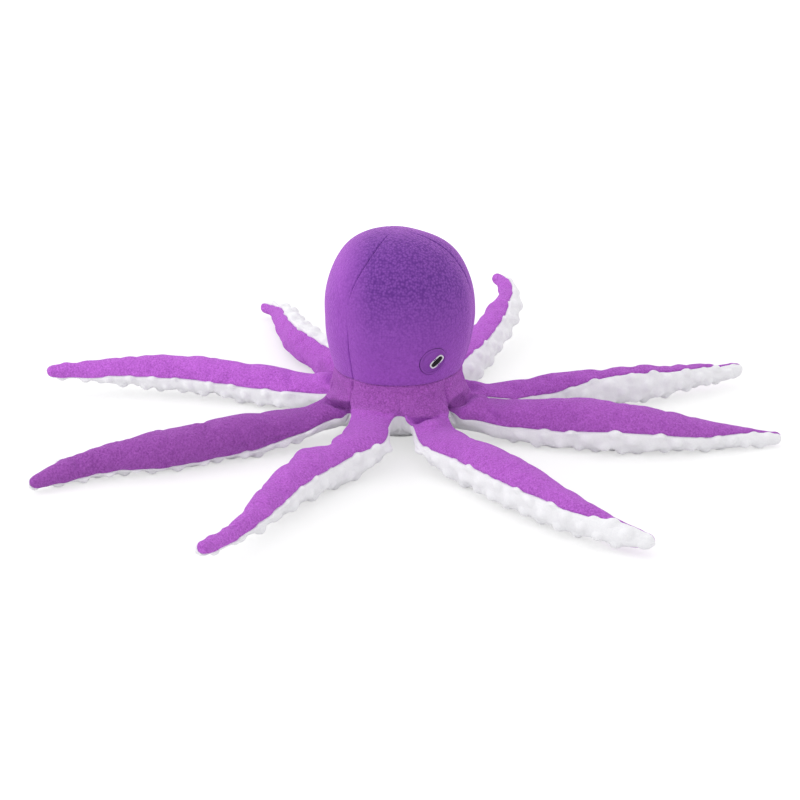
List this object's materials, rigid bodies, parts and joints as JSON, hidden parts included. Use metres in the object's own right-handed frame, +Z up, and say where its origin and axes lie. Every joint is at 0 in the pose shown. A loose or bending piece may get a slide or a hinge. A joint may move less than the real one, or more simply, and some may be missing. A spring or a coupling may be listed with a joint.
{
  "type": "plush octopus pet toy",
  "caption": "Stuffed octopus pet toy with a padded round head holding a squeaker and a crinkle sheet, embroidered eyes, and long floppy arms with raised-dot plush undersides.",
  "frame": {"origin": "centre of the flat belly on the floor, under the middle of the head", "axes": "+Z up through the head, -Y towards the viewer of the picture, +X to the viewer's right"},
  "size_m": [0.4899, 0.4644, 0.1343],
  "materials": {
    "purple_fleece": "matte",
    "white_dot_plush": "matte",
    "purple_thread": "satin",
    "white_thread": "satin",
    "black_thread": "satin",
    "polyester_stuffing": "matte",
    "squeaker_plastic": "satin",
    "crinkle_film": "gloss"
  },
  "bodies": {
    "body": {"belly": "white_dot_plush", "body_stuffing": "polyester_stuffing", "skirt_panel_front": "purple_fleece", "skirt_panel_right": "purple_fleece", "skirt_panel_back": "purple_fleece", "skirt_panel_left": "purple_fleece", "head_stuffing_lower": "polyester_stuffing", "head_stuffing_upper": "polyester_stuffing", "squeaker_cup": "squeaker_plastic", "squeaker_reed": "squeaker_plastic", "crinkle_sheet": "crinkle_film", "head_panel_front": "purple_fleece", "head_panel_right": "purple_fleece", "head_panel_left": "purple_fleece", "eye_right_patch": "purple_thread", "eye_right_white": "white_thread", "eye_right_pupil": "black_thread", "eye_left_patch": "purple_thread", "eye_left_white": "white_thread", "eye_left_pupil": "black_thread"},
    "squeaker_cap": {"squeaker_cap": "squeaker_plastic"},
    "arm_back_left": {"arm_back_left_top": "purple_fleece", "arm_back_left_underside": "white_dot_plush", "arm_back_left_stuffing": "polyester_stuffing"},
    "arm_left_back": {"arm_left_back_top": "purple_fleece", "arm_left_back_underside": "white_dot_plush", "arm_left_back_stuffing": "polyester_stuffing"},
    "arm_left_front": {"arm_left_front_top": "purple_fleece", "arm_left_front_underside": "white_dot_plush", "arm_left_front_stuffing": "polyester_stuffing"},
    "arm_front_left": {"arm_front_left_top": "purple_fleece", "arm_front_left_underside": "white_dot_plush", "arm_front_left_stuffing": "polyester_stuffing"},
    "arm_front_right": {"arm_front_right_top": "purple_fleece", "arm_front_right_underside": "white_dot_plush", "arm_front_right_stuffing": "polyester_stuffing"},
    "arm_right_front": {"arm_right_front_top": "purple_fleece", "arm_right_front_underside": "white_dot_plush", "arm_right_front_stuffing": "polyester_stuffing"},
    "arm_right_back": {"arm_right_back_top": "purple_fleece", "arm_right_back_underside": "white_dot_plush", "arm_right_back_stuffing": "polyester_stuffing"},
    "arm_back_right": {"arm_back_right_top": "purple_fleece", "arm_back_right_underside": "white_dot_plush", "arm_back_right_stuffing": "polyester_stuffing"}
  },
  "joints": [
    {"name": "squeaker_press", "type": "slide", "parent": "body", "child": "squeaker_cap", "axis": [0, 0, -1], "range_m": [0, 0.007], "stiffness_N_per_m": 300},
    {"name": "arm_back_left_bend", "type": "hinge", "parent": "body", "child": "arm_back_left", "pos_m": [-0.01971, 0.04758, 0.013], "axis": [0.9239, 0.3827, 0], "range_deg": [-50, 65]},
    {"name": "arm_left_back_bend", "type": "hinge", "parent": "body", "child": "arm_left_back", "pos_m": [-0.04758, 0.01971, 0.013], "axis": [0.3827, 0.9239, 0], "range_deg": [-50, 65]},
    {"name": "arm_left_front_bend", "type": "hinge", "parent": "body", "child": "arm_left_front", "pos_m": [-0.04758, -0.01971, 0.013], "axis": [-0.3827, 0.9239, 0], "range_deg": [-50, 65]},
    {"name": "arm_front_left_bend", "type": "hinge", "parent": "body", "child": "arm_front_left", "pos_m": [-0.01971, -0.04758, 0.013], "axis": [-0.9239, 0.3827, 0], "range_deg": [-50, 65]},
    {"name": "arm_front_right_bend", "type": "hinge", "parent": "body", "child": "arm_front_right", "pos_m": [0.01971, -0.04758, 0.013], "axis": [-0.9239, -0.3827, 0], "range_deg": [-50, 65]},
    {"name": "arm_right_front_bend", "type": "hinge", "parent": "body", "child": "arm_right_front", "pos_m": [0.04758, -0.01971, 0.013], "axis": [-0.3827, -0.9239, 0], "range_deg": [-50, 65]},
    {"name": "arm_right_back_bend", "type": "hinge", "parent": "body", "child": "arm_right_back", "pos_m": [0.04758, 0.01971, 0.013], "axis": [0.3827, -0.9239, 0], "range_deg": [-50, 65]},
    {"name": "arm_back_right_bend", "type": "hinge", "parent": "body", "child": "arm_back_right", "pos_m": [0.01971, 0.04758, 0.013], "axis": [0.9239, -0.3827, 0], "range_deg": [-50, 65]}
  ]
}
